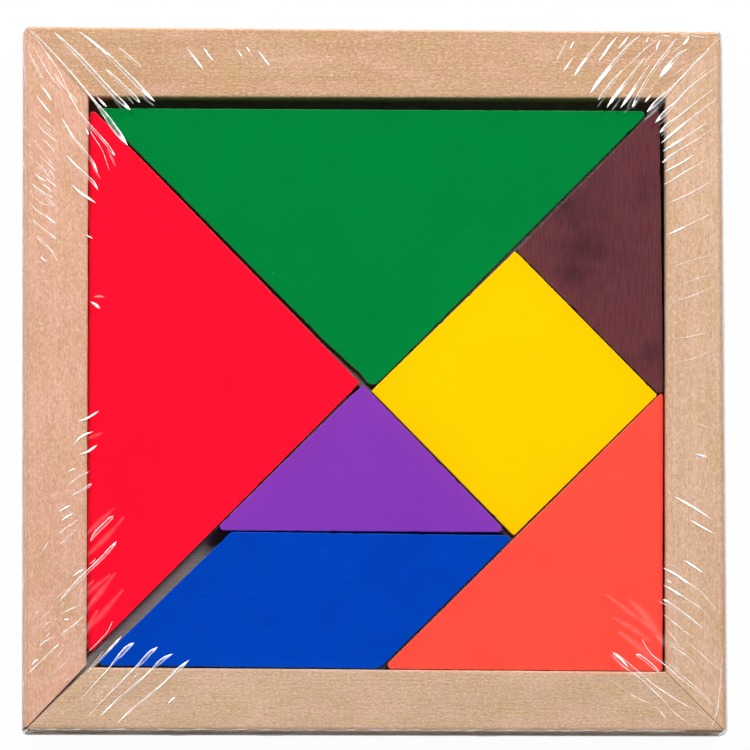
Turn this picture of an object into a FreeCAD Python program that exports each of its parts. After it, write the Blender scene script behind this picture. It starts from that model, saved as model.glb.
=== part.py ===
import FreeCAD, Part
import math
import os

import Sketcher

# Tangram puzzle, in millimetres. Seven painted wooden tans lie in a square tray of four
# mitred rails round a thin board, and clear film is shrunk round the whole of it.
# The origin is at the middle of the underside, +Z is up and +Y points to the top rail.

doc = FreeCAD.newDocument("tangram")

# Driving dimensions. A trim is what saw and sandpaper left on a tan, or took off it, against
# its share of the tangram square. A shift and a turn say how it lies off its place in it.
DIMENSIONS = {
    "tangram_side": 120.0,
    "play_across": 3.6,
    "play_along": 2.7,
    "tan_thickness": 5.0,
    "tan_tip_round": 0.85,
    "tan_corner_round": 0.45,
    "tan_worn_round": 2.0,
    "tan_arris": 0.3,
    "rail_height": 9.8,
    "rail_arris": 0.6,
    "tray_nip": 0.9,
    "rail_left_width": 13.5,
    "rail_right_width": 12.4,
    "rail_top_width": 14.9,
    "rail_bottom_width": 13.2,
    "rail_left_taper": 0.4,
    "rail_right_taper": 0.8,
    "rail_top_taper": 0.6,
    "rail_bottom_taper": 0.6,
    "mitre_glue_line": 0.04,
    "mitre_hairline": 0.08,
    "mitre_open_outside": 0.15,
    "mitre_open_inside": 0.55,
    "board_thickness": 2.6,
    "board_rise": 0.6,
    "board_bite": 3.6,
    "groove_spare_depth": 0.4,
    "groove_spare_height": 0.1,
    "film_thickness": 0.08,
    "film_clearance": 0.03,
    "film_corner": 1.0,
    "film_edge": 0.5,
    "seal_projection": 0.2,
    "seal_height": 0.5,
    "pleat_width": 0.9,
    "pleat_crest": 0.15,
    "pleat_height": 0.25,
    "pleat_reach": 27.0,
    "pleat_pitch": 4.6,
    "pleat_span": 33.0,
    "pleat_inset": 1.5,
    "pleat_splay": 3.0,
    "green_base_trim": -0.7,
    "green_height_trim": 0.3,
    "green_lean": 0.5,
    "green_shift_x": -0.63,
    "green_shift_y": -0.88,
    "green_turn": 0.1,
    "red_base_trim": -1.9,
    "red_height_trim": -1.95,
    "red_lean": 0.08,
    "red_shift_x": -1.58,
    "red_shift_y": 0.47,
    "red_turn": -0.21,
    "orange_base_trim": 0.25,
    "orange_height_trim": -0.08,
    "orange_lean": 0.2,
    "orange_shift_x": 1.21,
    "orange_shift_y": -1.15,
    "orange_turn": -0.3,
    "purple_base_trim": 2.6,
    "purple_height_trim": 1.6,
    "purple_lean": 0.4,
    "purple_shift_x": -3.5,
    "purple_shift_y": -1.72,
    "purple_turn": -0.16,
    "maroon_base_trim": 3.6,
    "maroon_height_trim": 1.15,
    "maroon_lean": 0.38,
    "maroon_shift_x": 1.26,
    "maroon_shift_y": -1.19,
    "maroon_turn": 0.47,
    "yellow_side_trim": 0.97,
    "yellow_shift_x": -0.5,
    "yellow_shift_y": -1.88,
    "yellow_turn": -0.55,
    "blue_side_trim": 0.7,
    "blue_height_trim": -1.1,
    "blue_shift_x": -0.43,
    "blue_shift_y": -1.48,
    "blue_turn": -0.5,
}

sheet = doc.addObject("Spreadsheet::Sheet", "Sizes")
for row, (alias, size) in enumerate(DIMENSIONS.items(), start=1):
    sheet.set(f"A{row}", alias)
    sheet.set(f"B{row}", str(size))
    sheet.setAlias(f"B{row}", alias)
doc.recompute()

# Lengths that follow from the driving dimensions, as formulas on the sheet
OPENING_ACROSS = "(Sizes.tangram_side + Sizes.play_across)"
OPENING_ALONG = "(Sizes.tangram_side + Sizes.play_along)"
TRAY_ACROSS = f"({OPENING_ACROSS} + Sizes.rail_left_width + Sizes.rail_right_width)"
TRAY_ALONG = f"({OPENING_ALONG} + Sizes.rail_top_width + Sizes.rail_bottom_width)"
MIDDLE_X = "((Sizes.rail_left_width - Sizes.rail_right_width) / 2)"
MIDDLE_Y = "((Sizes.rail_bottom_width - Sizes.rail_top_width) / 2)"
TRAY_FLOOR = "(Sizes.film_thickness + Sizes.film_clearance)"
BOARD_TOP = f"({TRAY_FLOOR} + Sizes.board_rise + Sizes.board_thickness)"
FILM_ACROSS = f"({TRAY_ACROSS} + 2 * {TRAY_FLOOR})"
FILM_ALONG = f"({TRAY_ALONG} + 2 * {TRAY_FLOOR})"
RIM_TOP = f"({TRAY_FLOOR} + Sizes.rail_height)"
TAN_TOP = f"({BOARD_TOP} + Sizes.tan_thickness)"
FILM_HEIGHT = f"(max({RIM_TOP}; {TAN_TOP}) + {TRAY_FLOOR})"

# Two spots or heights that are nearer than this are one
NEAR = 0.001


def value(formula):
    """The number that a formula on the sheet gives now."""
    return float(sheet.evalExpression(formula))


def add_body(label, turn, x, y, z):
    """An empty body at its place: formulas for its turn about Z and its three distances."""
    body = doc.addObject("PartDesign::Body", label)
    body.Label = label
    body.Placement.Rotation = FreeCAD.Rotation(FreeCAD.Vector(0, 0, 1), value(turn))
    if turn != "0":
        body.setExpression("Placement.Rotation.Angle", turn)
    body.setExpression("Placement.Base.x", x)
    body.setExpression("Placement.Base.y", y)
    body.setExpression("Placement.Base.z", z)
    return body


def add_sketch(body, name):
    """A sketch on the level one of the body's own origin planes."""
    plane = next(item for item in body.Origin.OriginFeatures if item.Role == "XY_Plane")
    sketch = body.newObject("Sketcher::SketchObject", name)
    sketch.AttachmentSupport = [(plane, "")]
    sketch.MapMode = "FlatFace"
    return sketch


def rectangle(across, along, middle_x="0", middle_y="0"):
    """The corners of a rectangle round its middle, from the top left, clockwise."""
    left = f"({middle_x} - {across} / 2)"
    right = f"({middle_x} + {across} / 2)"
    low = f"({middle_y} - {along} / 2)"
    high = f"({middle_y} + {along} / 2)"
    return [(left, high), (right, high), (right, low), (left, low)]


def draw_outline(sketch, corners):
    """A closed outline of straight sides, each corner pinned by two formulas."""
    spots = [FreeCAD.Vector(value(across), value(along), 0) for across, along in corners]
    count = len(spots)
    for index in range(count):
        side = Part.LineSegment(spots[index], spots[(index + 1) % count])
        sketch.addGeometry(side, False)
    for index in range(count):
        sketch.addConstraint(Sketcher.Constraint("Coincident", index, 2, (index + 1) % count, 1))
    for index, (across, along) in enumerate(corners):
        pin_corner(sketch, index, "DistanceX", across)
        pin_corner(sketch, index, "DistanceY", along)


def pin_corner(sketch, index, kind, formula):
    """Hold the start of one side at a distance from the sketch's origin."""
    pin = Sketcher.Constraint(kind, -1, 1, index, 1, value(formula))
    number = sketch.addConstraint(pin)
    name = f"{kind}_{index}"
    sketch.renameConstraint(number, name)
    sketch.setExpression(f"Constraints.{name}", formula)


def add_pad(body, sketch, length):
    """Thicken a sketch upwards."""
    pad = body.newObject("PartDesign::Pad", "Pad")
    pad.Profile = sketch
    pad.setExpression("Length", length)
    doc.recompute()
    return pad


def add_fillet(body, base, edges, radius):
    """Round the given edges of a feature."""
    fillet = body.newObject("PartDesign::Fillet", "Fillet")
    fillet.Base = (base, edges)
    fillet.setExpression("Radius", radius)
    doc.recompute()
    return fillet


def upright_edges(shape, corners):
    """Names of the upright edges that stand on the given corners."""
    names = []
    for number, edge in enumerate(shape.Edges, start=1):
        low, high = edge.Vertexes[0].Point, edge.Vertexes[-1].Point
        level = abs(low.z - high.z) < NEAR
        for across, along in corners:
            spot = FreeCAD.Vector(value(across), value(along), low.z)
            if not level and spot.distanceToPoint(low) < NEAR:
                names.append(f"Edge{number}")
    return names


def rim_edges(shape, heights):
    """Names of the edges that lie level at one of the given heights."""
    names = []
    for number, edge in enumerate(shape.Edges, start=1):
        box = edge.BoundBox
        for height in heights:
            if abs(box.ZMin - height) < NEAR and abs(box.ZMax - height) < NEAR:
                names.append(f"Edge{number}")
    return names


def level_edges(shape, sides, height):
    """Names of the edges at one height that run over the given sides of the outline."""
    wanted = []
    for side in sides:
        ends = [FreeCAD.Vector(value(across), value(along), height) for across, along in side]
        wanted.append((ends[0] + ends[1]) / 2)
    names = []
    for number, edge in enumerate(shape.Edges, start=1):
        middle = edge.valueAt((edge.FirstParameter + edge.LastParameter) / 2)
        if any(middle.distanceToPoint(spot) < NEAR for spot in wanted):
            names.append(f"Edge{number}")
    return names


# The four rails of the tray. Each is a strip of pale softwood with eased arrises, a little
# wider at one end than at the other, sawn to a mitre at both ends and grooved for the board.

def rail_width(side, share):
    """A rail's width at an end: share is 1/2 at its wider end and -1/2 at the narrower."""
    return f"(Sizes.rail_{side}_width + {share} * Sizes.rail_{side}_taper)"


def inner_corner(corner, sign_x, width_x, sign_y, width_y):
    """A corner of the opening, as far inside the tray's corner as its two rails are wide."""
    across, along = OUTER[corner]
    return f"({across} {sign_x} {width_x})", f"({along} {sign_y} {width_y})"


# Corners of the tray outside and of the opening inside
CORNERS = ("top_left", "top_right", "bottom_right", "bottom_left")
OUTER = dict(zip(CORNERS, rectangle(TRAY_ACROSS, TRAY_ALONG)))
INNER = {
    "top_left": inner_corner(
        "top_left", "+", rail_width("left", 0.5), "-", rail_width("top", 0.5)),
    "top_right": inner_corner(
        "top_right", "-", rail_width("right", -0.5), "-", rail_width("top", -0.5)),
    "bottom_right": inner_corner(
        "bottom_right", "-", rail_width("right", 0.5), "+", rail_width("bottom", -0.5)),
    "bottom_left": inner_corner(
        "bottom_left", "+", rail_width("left", -0.5), "+", rail_width("bottom", 0.5)),
}
# Half the gap at each mitre, outside and inside
MITRE_GAPS = {
    "top_left": ("Sizes.mitre_glue_line", "Sizes.mitre_glue_line"),
    "top_right": ("Sizes.mitre_glue_line", "Sizes.mitre_glue_line"),
    "bottom_right": ("Sizes.mitre_hairline", "Sizes.mitre_hairline"),
    "bottom_left": ("Sizes.mitre_open_outside", "Sizes.mitre_open_inside"),
}
# Each rail runs from one corner to the next, forwards or backwards along X or Y
RAILS = {
    "rail_top": ("top_left", "top_right", "x", "+"),
    "rail_right": ("top_right", "bottom_right", "y", "-"),
    "rail_bottom": ("bottom_right", "bottom_left", "x", "-"),
    "rail_left": ("bottom_left", "top_left", "y", "+"),
}


def set_back(spot, gap, axis, sign):
    """A spot moved along the rail by the gap of its mitre."""
    across, along = spot
    if axis == "x":
        return f"({across} {sign} {gap})", along
    return across, f"({along} {sign} {gap})"


def nip_middle(corner):
    """The middle of the flat that takes off the tray's sharp outer corner."""
    across, along = OUTER[corner]
    sign_x = "+" if corner.endswith("left") else "-"
    sign_y = "+" if corner.startswith("bottom") else "-"
    return f"({across} {sign_x} Sizes.tray_nip / 2)", f"({along} {sign_y} Sizes.tray_nip / 2)"


def make_rail(label, start, end, axis, forwards):
    """A rail between two corners of the tray, drawn from its outer side round to the mitres."""
    backwards = "-" if forwards == "+" else "+"
    outline = [
        set_back(OUTER[start], "Sizes.tray_nip", axis, forwards),
        set_back(OUTER[end], "Sizes.tray_nip", axis, backwards),
        set_back(nip_middle(end), MITRE_GAPS[end][0], axis, backwards),
        set_back(INNER[end], MITRE_GAPS[end][1], axis, backwards),
        set_back(INNER[start], MITRE_GAPS[start][1], axis, forwards),
        set_back(nip_middle(start), MITRE_GAPS[start][0], axis, forwards),
    ]
    outside = [(outline[0], outline[1]), (outline[1], outline[2]), (outline[5], outline[0])]
    inside = [(outline[3], outline[4])]
    body = add_body(label, "0", "0", "0", TRAY_FLOOR)
    plan = add_sketch(body, "Plan")
    draw_outline(plan, outline)
    stock = add_pad(body, plan, "Sizes.rail_height")
    solid_volume = stock.Shape.Volume
    groove = cut_groove(body)
    if groove.Shape.Volume >= solid_volume:
        raise RuntimeError(f"the groove misses {label}")
    arrises = level_edges(groove.Shape, outside, 0)
    arrises += level_edges(groove.Shape, outside + inside, value("Sizes.rail_height"))
    add_fillet(body, groove, arrises, "Sizes.rail_arris")
    return body


def cut_groove(body):
    """The groove for the board, sawn into the rail's inner side."""
    depths = "2 * (Sizes.board_bite + Sizes.groove_spare_depth)"
    across = f"({OPENING_ACROSS} + {depths})"
    along = f"({OPENING_ALONG} + {depths})"
    top = "Sizes.board_rise + Sizes.board_thickness + Sizes.groove_spare_height"
    plan = add_sketch(body, "GroovePlan")
    plan.setExpression("AttachmentOffset.Base.z", top)
    draw_outline(plan, rectangle(across, along, MIDDLE_X, MIDDLE_Y))
    groove = body.newObject("PartDesign::Pocket", "Groove")
    groove.Profile = plan
    groove.setExpression("Length", "Sizes.board_thickness + Sizes.groove_spare_height")
    doc.recompute()
    return groove


rails = [make_rail(label, *run) for label, run in RAILS.items()]


# The board is a thin panel that slides into the grooves before the last rail is glued on.

def make_board():
    body = add_body("backing_board", "0", MIDDLE_X, MIDDLE_Y, f"{TRAY_FLOOR} + Sizes.board_rise")
    across = f"({OPENING_ACROSS} + 2 * Sizes.board_bite)"
    along = f"({OPENING_ALONG} + 2 * Sizes.board_bite)"
    plan = add_sketch(body, "Plan")
    draw_outline(plan, rectangle(across, along))
    add_pad(body, plan, "Sizes.board_thickness")
    return body


board = make_board()


# The seven tans are sawn from sheet wood, sanded round at their corners and arrises, and
# painted. A triangle's base is its longest side, and its lean is how far the corner above
# the base is off the middle. The square and the parallelogram are drawn about their middle.

def triangle_outline(tan, base_share, height_share):
    base = f"(Sizes.tangram_side * {base_share} + Sizes.{tan}_base_trim)"
    height = f"(Sizes.tangram_side * {height_share} + Sizes.{tan}_height_trim)"
    return [(f"-{base} / 2", "0"), (f"{base} / 2", "0"), (f"Sizes.{tan}_lean", height)]


def square_outline(tan):
    side = f"(Sizes.tangram_side / sqrt(8) + Sizes.{tan}_side_trim)"
    return rectangle(side, side)


def parallelogram_outline(tan):
    side = f"(Sizes.tangram_side / 2 + Sizes.{tan}_side_trim)"
    height = f"(Sizes.tangram_side / 4 + Sizes.{tan}_height_trim)"
    return [
        (f"-({side} + {height}) / 2", f"-{height} / 2"),
        (f"({side} - {height}) / 2", f"-{height} / 2"),
        (f"({side} + {height}) / 2", f"{height} / 2"),
        (f"-({side} - {height}) / 2", f"{height} / 2"),
    ]


def make_tan(label, outline, rounds, heading, x_share, y_share):
    """A tan at its share of the tangram square, with its own shift and turn."""
    tan = label.split("_")[-1]
    body = add_body(
        label,
        f"{heading} + Sizes.{tan}_turn",
        f"{MIDDLE_X} + Sizes.tangram_side * {x_share} + Sizes.{tan}_shift_x",
        f"{MIDDLE_Y} + Sizes.tangram_side * {y_share} + Sizes.{tan}_shift_y",
        BOARD_TOP,
    )
    plan = add_sketch(body, "Plan")
    draw_outline(plan, outline)
    shape = add_pad(body, plan, "Sizes.tan_thickness")
    for radius in sorted(set(rounds)):
        corners = [corner for corner, wanted in zip(outline, rounds) if wanted == radius]
        edges = upright_edges(shape.Shape, corners)
        if len(edges) != len(corners):
            raise RuntimeError(f"{label} has {len(edges)} edges to round by {radius}")
        shape = add_fillet(body, shape, edges, radius)
    arris = body.newObject("PartDesign::Chamfer", "Arris")
    arris.Base = (shape, rim_edges(shape.Shape, [0.0, value("Sizes.tan_thickness")]))
    arris.setExpression("Size", "Sizes.tan_arris")
    return body


TIP = "Sizes.tan_tip_round"
SHARP = "Sizes.tan_corner_round"
WORN = "Sizes.tan_worn_round"
LARGE = ("1", "1 / 2")
MEDIUM = ("1 / sqrt(2)", "1 / sqrt(8)")
SMALL = ("1 / 2", "1 / 4")

tans = [
    make_tan("large_triangle_green", triangle_outline("green", *LARGE), [TIP, TIP, WORN],
             180, "0", "1 / 2"),
    make_tan("large_triangle_red", triangle_outline("red", *LARGE), [TIP, TIP, SHARP],
             270, "-1 / 2", "0"),
    make_tan("medium_triangle_orange", triangle_outline("orange", *MEDIUM), [SHARP, TIP, SHARP],
             225, "1 / 4", "-1 / 4"),
    make_tan("small_triangle_purple", triangle_outline("purple", *SMALL), [TIP, TIP, SHARP],
             0, "0", "-1 / 4"),
    make_tan("small_triangle_maroon", triangle_outline("maroon", *SMALL), [TIP, TIP, TIP],
             90, "1 / 2", "1 / 4"),
    make_tan("square_yellow", square_outline("yellow"), [SHARP, SHARP, SHARP, SHARP],
             45, "1 / 4", "0"),
    make_tan("parallelogram_blue", parallelogram_outline("blue"), [TIP, WORN, TIP, WORN],
             0, "-1 / 8", "-3 / 8"),
]


# The film is one closed skin, shrunk tight over the rims. A seal runs round it at half its
# height, and its top sheet is gathered into pleats that fan out from each corner.

PLEAT_FADE = 0.83
PLEAT_CREST_SHARES = (0.2, 0.5)


def add_block(name, across, along, height, floor, corner):
    """A block round the tray's middle with its upright edges rounded."""
    body = add_body(name, "0", "0", "0", floor)
    outline = rectangle(across, along)
    plan = add_sketch(body, "Plan")
    draw_outline(plan, outline)
    block = add_pad(body, plan, height)
    rounded = add_fillet(body, block, upright_edges(block.Shape, outline), corner)
    return body, rounded


def add_skin(name, depth):
    """One surface of the film, so far under the outermost one."""
    height = f"({FILM_HEIGHT} - 2 * {depth})"
    body, rounded = add_block(
        name,
        f"({FILM_ACROSS} - 2 * {depth})",
        f"({FILM_ALONG} - 2 * {depth})",
        height,
        depth,
        f"Sizes.film_corner - {depth}",
    )
    rims = rim_edges(rounded.Shape, [0.0, value(height)])
    add_fillet(body, rounded, rims, f"Sizes.film_edge - {depth}")
    return body


def add_seal():
    """A flat bead all round, where the two layers of film are welded and cut."""
    return add_block(
        "film_seal",
        f"({FILM_ACROSS} + 2 * Sizes.seal_projection)",
        f"({FILM_ALONG} + 2 * Sizes.seal_projection)",
        "Sizes.seal_height",
        f"({FILM_HEIGHT} - Sizes.seal_height) / 2",
        "Sizes.film_corner + Sizes.seal_projection",
    )[0]


def add_pleat(name, corner_x, corner_y, steps_across, steps_along):
    """A low ridge that starts beside the rim, some steps from a corner, and runs inwards."""
    step = steps_across + steps_along
    lean = 45 + value("Sizes.pleat_splay") * (steps_across - steps_along)
    inward = math.atan2(-corner_y * math.sin(math.radians(lean)),
                        -corner_x * math.cos(math.radians(lean)))
    heading = FreeCAD.Rotation(FreeCAD.Vector(0, 0, 1), math.degrees(inward))
    upright = FreeCAD.Rotation(FreeCAD.Vector(1, 0, 0), 90)
    across = f"(Sizes.pleat_inset + Sizes.pleat_pitch * {steps_across})"
    along = f"(Sizes.pleat_inset + Sizes.pleat_pitch * {steps_along})"
    reach = f"Sizes.pleat_reach * {PLEAT_FADE} ^ {step}"
    pleat = doc.addObject("Part::Wedge", name)
    pleat.Placement.Rotation = heading * upright
    pleat.setExpression("Placement.Base.x", f"{corner_x} * ({TRAY_ACROSS} / 2 - {across})")
    pleat.setExpression("Placement.Base.y", f"{corner_y} * ({TRAY_ALONG} / 2 - {along})")
    pleat.setExpression("Placement.Base.z", f"{FILM_HEIGHT} - Sizes.film_thickness / 2")
    pleat.Xmin, pleat.Ymin = 0, 0
    pleat.setExpression("Xmax", reach)
    pleat.setExpression("X2min", f"{reach} * {PLEAT_CREST_SHARES[0]}")
    pleat.setExpression("X2max", f"{reach} * {PLEAT_CREST_SHARES[1]}")
    pleat.setExpression("Ymax", "Sizes.pleat_height + Sizes.film_thickness / 2")
    pleat.setExpression("Zmin", "-Sizes.pleat_width / 2")
    pleat.setExpression("Zmax", "Sizes.pleat_width / 2")
    pleat.setExpression("Z2min", "-Sizes.pleat_crest / 2")
    pleat.setExpression("Z2max", "Sizes.pleat_crest / 2")
    return pleat


def gather_corner(corner_x, corner_y):
    """The fan of one corner: the longest pleat on its diagonal, the others beside the rims."""
    steps = [(0, 0)]
    pleats_per_rail = int(value("Sizes.pleat_span / Sizes.pleat_pitch"))
    for step in range(1, pleats_per_rail + 1):
        steps += [(step, 0), (0, step)]
    side = {-1: "left", 1: "right"}[corner_x] + {-1: "_low", 1: "_high"}[corner_y]
    return [add_pleat(f"pleat_{side}_{across}_{along}", corner_x, corner_y, across, along)
            for across, along in steps]


def make_film():
    inside = add_skin("film_inside", "Sizes.film_thickness")
    layers = [add_skin("film_outside", "0"), add_seal()]
    for corner_x, corner_y in ((-1, 1), (1, 1), (1, -1), (-1, -1)):
        layers += gather_corner(corner_x, corner_y)
    gathered = doc.addObject("Part::MultiFuse", "film_gathered")
    gathered.Shapes = layers
    film = doc.addObject("Part::Cut", "shrink_film")
    film.Base = gathered
    film.Tool = inside
    film.Label = "shrink_film"
    return film


film = make_film()


# Each sub-part is written under its own label, once the whole model has been checked.

def write_parts(subparts):
    doc.recompute()
    for item in doc.Objects:
        if "Invalid" in item.State or "Error" in item.State:
            raise RuntimeError(f"{item.Label} is {item.State}")
    for subpart in subparts:
        shape = subpart.Shape
        if shape.isNull() or not shape.isValid() or len(shape.Solids) != 1:
            raise RuntimeError(f"{subpart.Label} is not one valid solid")
    os.makedirs("parts", exist_ok=True)
    for subpart in subparts:
        subpart.Shape.exportStep(f"parts/{subpart.Label}.step")
        box = subpart.Shape.BoundBox
        print(subpart.Label, f"{box.XLength:.2f} x {box.YLength:.2f} x {box.ZLength:.2f}")


write_parts(rails + [board] + tans + [film])
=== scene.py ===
import math
import random

import bpy
from mathutils import Matrix, Vector, noise


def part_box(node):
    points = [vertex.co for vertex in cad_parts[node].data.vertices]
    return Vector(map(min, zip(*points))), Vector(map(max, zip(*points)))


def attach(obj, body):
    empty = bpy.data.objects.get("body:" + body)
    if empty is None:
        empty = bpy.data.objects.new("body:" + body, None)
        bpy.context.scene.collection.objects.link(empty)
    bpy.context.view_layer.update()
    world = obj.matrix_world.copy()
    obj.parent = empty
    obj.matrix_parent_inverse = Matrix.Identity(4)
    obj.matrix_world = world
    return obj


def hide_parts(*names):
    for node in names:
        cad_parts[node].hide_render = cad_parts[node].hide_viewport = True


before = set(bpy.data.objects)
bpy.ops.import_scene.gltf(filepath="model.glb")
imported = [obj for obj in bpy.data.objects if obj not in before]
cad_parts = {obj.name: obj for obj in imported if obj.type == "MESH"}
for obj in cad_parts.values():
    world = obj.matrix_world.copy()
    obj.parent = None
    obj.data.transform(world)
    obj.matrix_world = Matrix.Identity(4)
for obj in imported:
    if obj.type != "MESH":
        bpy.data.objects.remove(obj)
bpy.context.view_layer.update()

# Tangram puzzle: seven painted wooden tans in a square tray of four mitred rails round a thin
# board, sealed in clear shrink film. Sizes are in millimetres and turned into the frame's
# metres where a mesh is made. +Z is up and +Y is the top rail.

MM = 0.001


# Backing board. A thin panel of grey-brown board, slid into the grooves of the rails before
# the last of them was glued on. It shows in the wide seams and on the tray's underside.

def put(tree, kind, inputs=None, **settings):
    """A node with its settings; an input is a value or an output, a colour has three parts."""
    node = tree.nodes.new("ShaderNode" + kind)
    for name, setting in settings.items():
        setattr(node, name, setting)
    for name, given in (inputs or {}).items():
        socket = node.inputs[name]
        if isinstance(given, bpy.types.NodeSocket):
            tree.links.new(given, socket)
        else:
            socket.default_value = (*given, 1) if socket.type == "RGBA" else given
    return node


def calc(tree, operation, *terms):
    """A sum on up to three numbers or outputs."""
    return put(tree, "Math", dict(enumerate(terms)), operation=operation).outputs[0]


def ramp(tree, given, low, high, start=0.0, end=1.0):
    """A soft step from start to end while the given value goes from low to high."""
    node = put(tree, "MapRange",
               {"Value": given, "From Min": low, "From Max": high, "To Min": start, "To Max": end},
               interpolation_type="SMOOTHSTEP")
    return node.outputs[0]


def speckle(tree, place, stretch, detail, distortion=0.0, roughness=0.5, scale=1.0):
    """Noise over a place in millimetres, stretched along X, Y and Z."""
    drawn = put(tree, "VectorMath", {0: place, 1: [1 / s for s in stretch]},
                operation="MULTIPLY")
    return put(tree, "TexNoise",
               {"Vector": drawn.outputs[0], "Scale": scale, "Detail": detail,
                "Distortion": distortion, "Roughness": roughness}).outputs[0]


def blend(tree, share, first, second):
    """Two colours mixed by a share."""
    return put(tree, "Mix", {0: share, 6: first, 7: second}, data_type="RGBA").outputs[2]


def tint(tree, tone, mask, depth, colour):
    """The tone taken towards a colour where the mask is full, as far as the depth."""
    return blend(tree, calc(tree, "MULTIPLY", mask, depth), tone, colour)


def new_group(name, inputs, outputs):
    """A shader node group with its inputs and outputs named, and its two end nodes."""
    group = bpy.data.node_groups.new(name, "ShaderNodeTree")
    for label, kind in inputs:
        group.interface.new_socket(label, in_out="INPUT", socket_type=kind)
    for label in outputs:
        group.interface.new_socket(label, in_out="OUTPUT", socket_type="NodeSocketFloat")
    start = group.nodes.new("NodeGroupInput")
    end = group.nodes.new("NodeGroupOutput")
    return group, start.outputs, end.inputs


def make_timber_group():
    """Planed timber with its grain along X: growth bands, fibres, pores, fuzz and clouds."""
    group, given, out = new_group(
        "timber", [("Place", "NodeSocketVector")],
        ["Bands", "Fibres", "Pores", "Sparks", "Fuzz", "Clouds"])
    place = given["Place"]
    wander = speckle(group, place, (60, 14, 14), 1.0)
    shifted = put(group, "VectorMath",
                  {0: place, 1: (0.0, 6.0, 2.0), 2: wander}, operation="MULTIPLY_ADD").outputs[0]
    for name, spots, low, high in (
            ("Bands", speckle(group, shifted, (48, 2.6, 2.6), 2.0, 0.6), 0.3, 0.7),
            ("Fibres", speckle(group, place, (4.2, 0.36, 0.36), 3.0), 0.3, 0.7),
            ("Pores", speckle(group, place, (1.5, 0.24, 0.24), 1.0), 0.64, 0.76),
            ("Sparks", speckle(group, place, (0.34, 0.28, 0.28), 1.0), 0.64, 0.78),
            ("Fuzz", speckle(group, place, (0.75, 0.40, 0.40), 3.0, 0.0, 0.8), 0.2, 0.8),
            ("Clouds", speckle(group, place, (17, 9, 9), 3.0), 0.3, 0.7)):
        group.links.new(ramp(group, spots, low, high), out[name])
    return group


timber = make_timber_group()


def new_material(name):
    """A material with an empty tree but for its output."""
    material = bpy.data.materials.new(name)
    material.use_nodes = True
    tree = material.node_tree
    tree.nodes.clear()
    return material, tree, put(tree, "OutputMaterial")


def stored(tree, attribute, output="Vector"):
    """What the mesh keeps for every vertex: a place in millimetres, or a number as Fac."""
    return put(tree, "Attribute", attribute_name=attribute).outputs[output]


def add_matte(tree, output, tone, relief, roughness, specular, strength, depth):
    """A rough surface in the given tone, its relief a bump of the given depth in millimetres."""
    bump = put(tree, "Bump",
               {"Height": relief, "Strength": strength, "Distance": depth * MM})
    shader = put(tree, "BsdfPrincipled",
                 {"Base Color": tone, "Roughness": roughness, "Specular IOR Level": specular,
                  "Normal": bump.outputs[0]})
    tree.links.new(shader.outputs[0], output.inputs[0])


def make_board_material():
    """Grey-brown panel with a faint fibre, the same all over."""
    material, tree, output = new_material("board_panel")
    coordinates = put(tree, "TexCoord").outputs["Object"]
    place = put(tree, "VectorMath", {0: coordinates, "Scale": 1 / MM}, operation="SCALE")
    grain = put(tree, "Group", {"Place": place.outputs[0]}, node_tree=timber).outputs
    tone = blend(tree, grain["Clouds"], (0.38, 0.31, 0.30), (0.50, 0.42, 0.40))
    tone = tint(tree, tone, grain["Fibres"], 0.5, (0.30, 0.24, 0.22))
    add_matte(tree, output, tone, grain["Fibres"], roughness=0.75, specular=0.25,
              strength=0.3, depth=0.05)
    return material


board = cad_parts["backing_board"]
board.data.materials.clear()
board.data.materials.append(make_board_material())


# Rails. Four strips of bare planed softwood with eased arrises, mitred and glued at the
# corners. Each is its own piece of timber, a little wider at one end, grooved for the board.

RAIL_HEIGHT = 9.8
RAIL_ARRIS, SAWN_ARRIS = 0.6, 0.15
TRAY_FLOOR = 0.11
TRAY_NIP = 0.9
GROOVE_DEPTH = 4.0
GROOVE_LOW, GROOVE_HIGH = 0.6, 3.3
TRAY_ACROSS, TRAY_ALONG = 149.5, 150.8


def arc(middle, radius, start, end, steps):
    """Points on an arc, in degrees from its start to its end."""
    points = []
    for step in range(steps + 1):
        angle = math.radians(start + (end - start) * step / steps)
        points.append((middle[0] + radius * math.cos(angle), middle[1] + radius * math.sin(angle)))
    return points


def rail_section(width):
    """A rail's cross-section: how far in from its outer side, and how high."""
    r = RAIL_ARRIS
    return (
        arc((r, r), r, 180, 270, 4)
        + [(width / 2, 0.0), (width - SAWN_ARRIS, 0.0), (width, SAWN_ARRIS)]
        + [(width, GROOVE_LOW), (width - GROOVE_DEPTH, GROOVE_LOW)]
        + [(width - GROOVE_DEPTH, GROOVE_HIGH), (width, GROOVE_HIGH), (width, 6.0)]
        + arc((width - r, RAIL_HEIGHT - r), r, 0, 90, 5)
        + [(width - r - 0.4, RAIL_HEIGHT), (width / 2, RAIL_HEIGHT), (r + 0.4, RAIL_HEIGHT)]
        + arc((r, RAIL_HEIGHT - r), r, 90, 180, 5)
    )


def mitre(inward, own_width, other_width, gap_outside, gap_inside):
    """How far along the rail its mitre lies, at a distance in from the outer side."""
    half_nip = TRAY_NIP / 2
    if inward < half_nip:
        return TRAY_NIP + (gap_outside - half_nip) * inward / half_nip
    share = (inward - half_nip) / (own_width - half_nip)
    return half_nip + share * (other_width - half_nip) + gap_outside + share * (
        gap_inside - gap_outside)


def add_object(name, data):
    made = bpy.data.objects.new(name, data)
    bpy.context.scene.collection.objects.link(made)
    return made


def new_piece(name, vertices, faces, material):
    """A mesh object that rides with the tray, from vertices in millimetres."""
    mesh = bpy.data.meshes.new(name)
    mesh.from_pydata([Vector(v) * MM for v in vertices], [], faces)
    mesh.validate()
    mesh.polygons.foreach_set("use_smooth", [len(p.vertices) <= 4 for p in mesh.polygons])
    mesh.materials.append(material)
    mesh.update()
    piece = add_object(name, mesh)
    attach(piece, "root")
    return piece


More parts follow.
